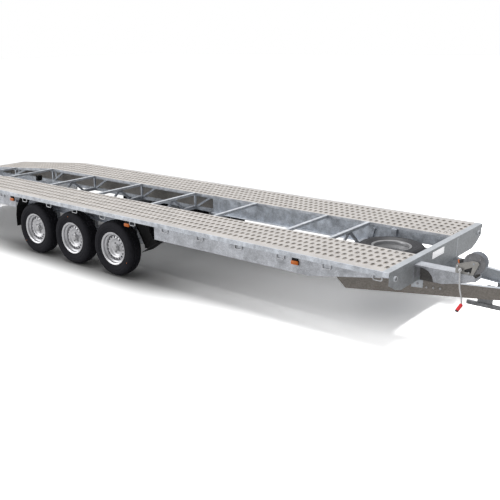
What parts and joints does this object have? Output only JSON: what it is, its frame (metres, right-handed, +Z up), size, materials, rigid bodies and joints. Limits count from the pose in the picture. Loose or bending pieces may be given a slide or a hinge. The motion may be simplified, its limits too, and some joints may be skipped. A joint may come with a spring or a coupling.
{
  "type": "car hauler trailer",
  "caption": "Long galvanised platform trailer on three axles with two perforated runways, a sloped tail, a V drawbar, hand winch, jockey wheel and stored loading ramps.",
  "frame": {"origin": "on the ground under the middle of the trailer's overall length and width", "axes": "+X forward along the drawbar, +Y left, +Z up"},
  "size_m": [9.52, 2.145, 0.892],
  "materials": {
    "deck_steel": "perforated galvanised sheet, warm grey",
    "galvanised": "hot-dip galvanised steel",
    "drawbar_steel": "hot-dip galvanised steel, darker",
    "tyre_rubber": "black tyre rubber",
    "rim_silver": "silver painted steel",
    "black_plastic": "black plastic",
    "amber_lens": "amber lens",
    "red_lens": "red lamp lens",
    "winch_steel": "zinc plated pressed steel",
    "cast_zinc": "zinc plated casting",
    "solid_rubber": "solid rubber tyre on a steel hub",
    "ramp_aluminium": "mill finish aluminium"
  },
  "bodies": {
    "chassis": {"axle_front": "galvanised", "axle_middle": "galvanised", "axle_rear": "galvanised", "coupling_head": "cast_zinc", "cross_lattices": "galvanised", "cross_tubes": "galvanised", "drawbar_arm_left": "drawbar_steel", "drawbar_arm_right": "drawbar_steel", "drawbar_carrier": "galvanised", "front_beam": "galvanised", "front_guard_left": "black_plastic", "front_guard_right": "black_plastic", "inner_beam_left": "galvanised", "inner_beam_right": "galvanised", "jockey_tube": "galvanised", "marker_lamps": "amber_lens", "overrun_housing": "cast_zinc", "ramp_guide_left": "galvanised", "ramp_guide_right": "galvanised", "rear_beam": "galvanised", "rear_flap_left": "black_plastic", "rear_flap_right": "black_plastic", "runway_left": "deck_steel", "runway_right": "deck_steel", "side_rail_left": "galvanised", "side_rail_right": "galvanised", "spare_carrier": "galvanised", "spare_rim": "rim_silver", "spare_tyre": "tyre_rubber", "tail_lamp_left": "red_lens", "tail_lamp_right": "red_lens", "tie_hooks_left": "galvanised", "tie_hooks_right": "galvanised", "underframe_left": "galvanised", "underframe_right": "galvanised", "winch_frame": "winch_steel", "winch_stand": "galvanised"},
    "wheel_front_left": {"tyre_front_left": "tyre_rubber", "rim_front_left": "rim_silver"},
    "wheel_front_right": {"tyre_front_right": "tyre_rubber", "rim_front_right": "rim_silver"},
    "wheel_middle_left": {"tyre_middle_left": "tyre_rubber", "rim_middle_left": "rim_silver"},
    "wheel_middle_right": {"tyre_middle_right": "tyre_rubber", "rim_middle_right": "rim_silver"},
    "wheel_rear_left": {"tyre_rear_left": "tyre_rubber", "rim_rear_left": "rim_silver"},
    "wheel_rear_right": {"tyre_rear_right": "tyre_rubber", "rim_rear_right": "rim_silver"},
    "jockey_leg": {"jockey_leg": "galvanised"},
    "jockey_fork": {"jockey_fork": "galvanised", "jockey_pin": "galvanised"},
    "jockey_wheel": {"jockey_wheel": "solid_rubber"},
    "winch_drum": {"winch_drum": "winch_steel"},
    "winch_crank": {"winch_crank": "winch_steel"},
    "ramp_left": {"ramp_left": "ramp_aluminium"},
    "ramp_right": {"ramp_right": "ramp_aluminium"}
  },
  "joints": [
    {"name": "front_left_wheel_turn", "type": "hinge", "parent": "chassis", "child": "wheel_front_left", "pos_m": [-0.149, 0.98, 0.325], "axis": [0, 1, 0], "continuous": true},
    {"name": "front_right_wheel_turn", "type": "hinge", "parent": "chassis", "child": "wheel_front_right", "pos_m": [-0.149, -0.98, 0.325], "axis": [0, 1, 0], "continuous": true},
    {"name": "middle_left_wheel_turn", "type": "hinge", "parent": "chassis", "child": "wheel_middle_left", "pos_m": [-0.879, 0.98, 0.325], "axis": [0, 1, 0], "continuous": true},
    {"name": "middle_right_wheel_turn", "type": "hinge", "parent": "chassis", "child": "wheel_middle_right", "pos_m": [-0.879, -0.98, 0.325], "axis": [0, 1, 0], "continuous": true},
    {"name": "rear_left_wheel_turn", "type": "hinge", "parent": "chassis", "child": "wheel_rear_left", "pos_m": [-1.609, 0.98, 0.325], "axis": [0, 1, 0], "continuous": true},
    {"name": "rear_right_wheel_turn", "type": "hinge", "parent": "chassis", "child": "wheel_rear_right", "pos_m": [-1.609, -0.98, 0.325], "axis": [0, 1, 0], "continuous": true},
    {"name": "jockey_slide", "type": "slide", "parent": "chassis", "child": "jockey_leg", "axis": [0, 0, 1], "range_m": [0, 0.115]},
    {"name": "jockey_swivel", "type": "hinge", "parent": "jockey_leg", "child": "jockey_fork", "pos_m": [4.065, 0, 0.25], "axis": [0, 0, 1], "continuous": true},
    {"name": "jockey_wheel_turn", "type": "hinge", "parent": "jockey_fork", "child": "jockey_wheel", "pos_m": [4.03, 0, 0.1], "axis": [0, 1, 0], "continuous": true},
    {"name": "winch_drum_turn", "type": "hinge", "parent": "chassis", "child": "winch_drum", "pos_m": [3.778, -0.51, 0.8], "axis": [0, 1, 0], "continuous": true},
    {"name": "winch_crank_turn", "type": "hinge", "parent": "chassis", "child": "winch_crank", "pos_m": [3.678, -0.51, 0.735], "axis": [0, 1, 0], "continuous": true},
    {"name": "ramp_left_slide", "type": "slide", "parent": "chassis", "child": "ramp_left", "axis": [-1, 0, 0], "range_m": [0, 1.5]},
    {"name": "ramp_right_slide", "type": "slide", "parent": "chassis", "child": "ramp_right", "axis": [-1, 0, 0], "range_m": [0, 1.5]}
  ],
  "couplings": [
    {"joint": "winch_crank_turn", "follows": "winch_drum_turn", "ratio": -3.4241}
  ]
}
